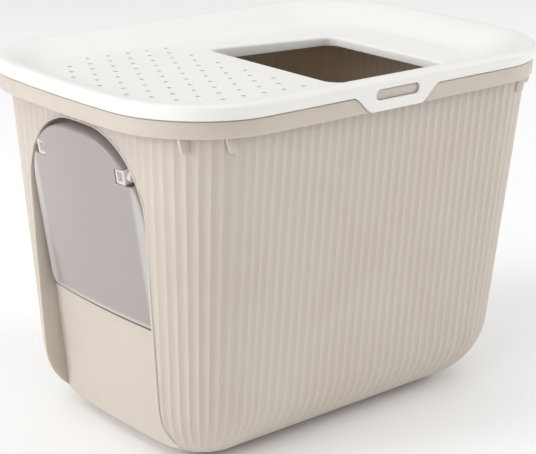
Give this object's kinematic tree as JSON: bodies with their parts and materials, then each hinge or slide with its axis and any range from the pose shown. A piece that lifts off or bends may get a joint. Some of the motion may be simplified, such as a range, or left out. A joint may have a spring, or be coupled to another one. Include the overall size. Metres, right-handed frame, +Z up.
{
  "type": "top entry litter box",
  "caption": "Fluted cat litter tub with a swing flap in an arched end recess, and a lift-off dished lid with a top entry and a perforated platform.",
  "frame": {"origin": "middle of the base, on the floor", "axes": "+Z up, the flap door at the -X end, the long fluted side of the picture at -Y"},
  "size_m": [0.57, 0.3926, 0.407],
  "materials": {
    "tub_plastic": "satin",
    "lid_plastic": "satin",
    "smoke_plastic": "gloss",
    "clip_plastic": "frosted"
  },
  "bodies": {
    "box": {"tub": "tub_plastic"},
    "lid": {"lid": "lid_plastic"},
    "flap": {"flap": "smoke_plastic", "hinge_clip_left": "clip_plastic", "hinge_clip_right": "clip_plastic"}
  },
  "joints": [
    {"name": "flap_swing", "type": "hinge", "parent": "box", "child": "flap", "pos_m": [-0.249, 0, 0.32], "axis": [0, 1, 0], "range_deg": [-80, 80]},
    {"name": "lid_lift", "type": "slide", "parent": "box", "child": "lid", "axis": [0, 0, 1], "range_m": [0, 0.08]}
  ]
}
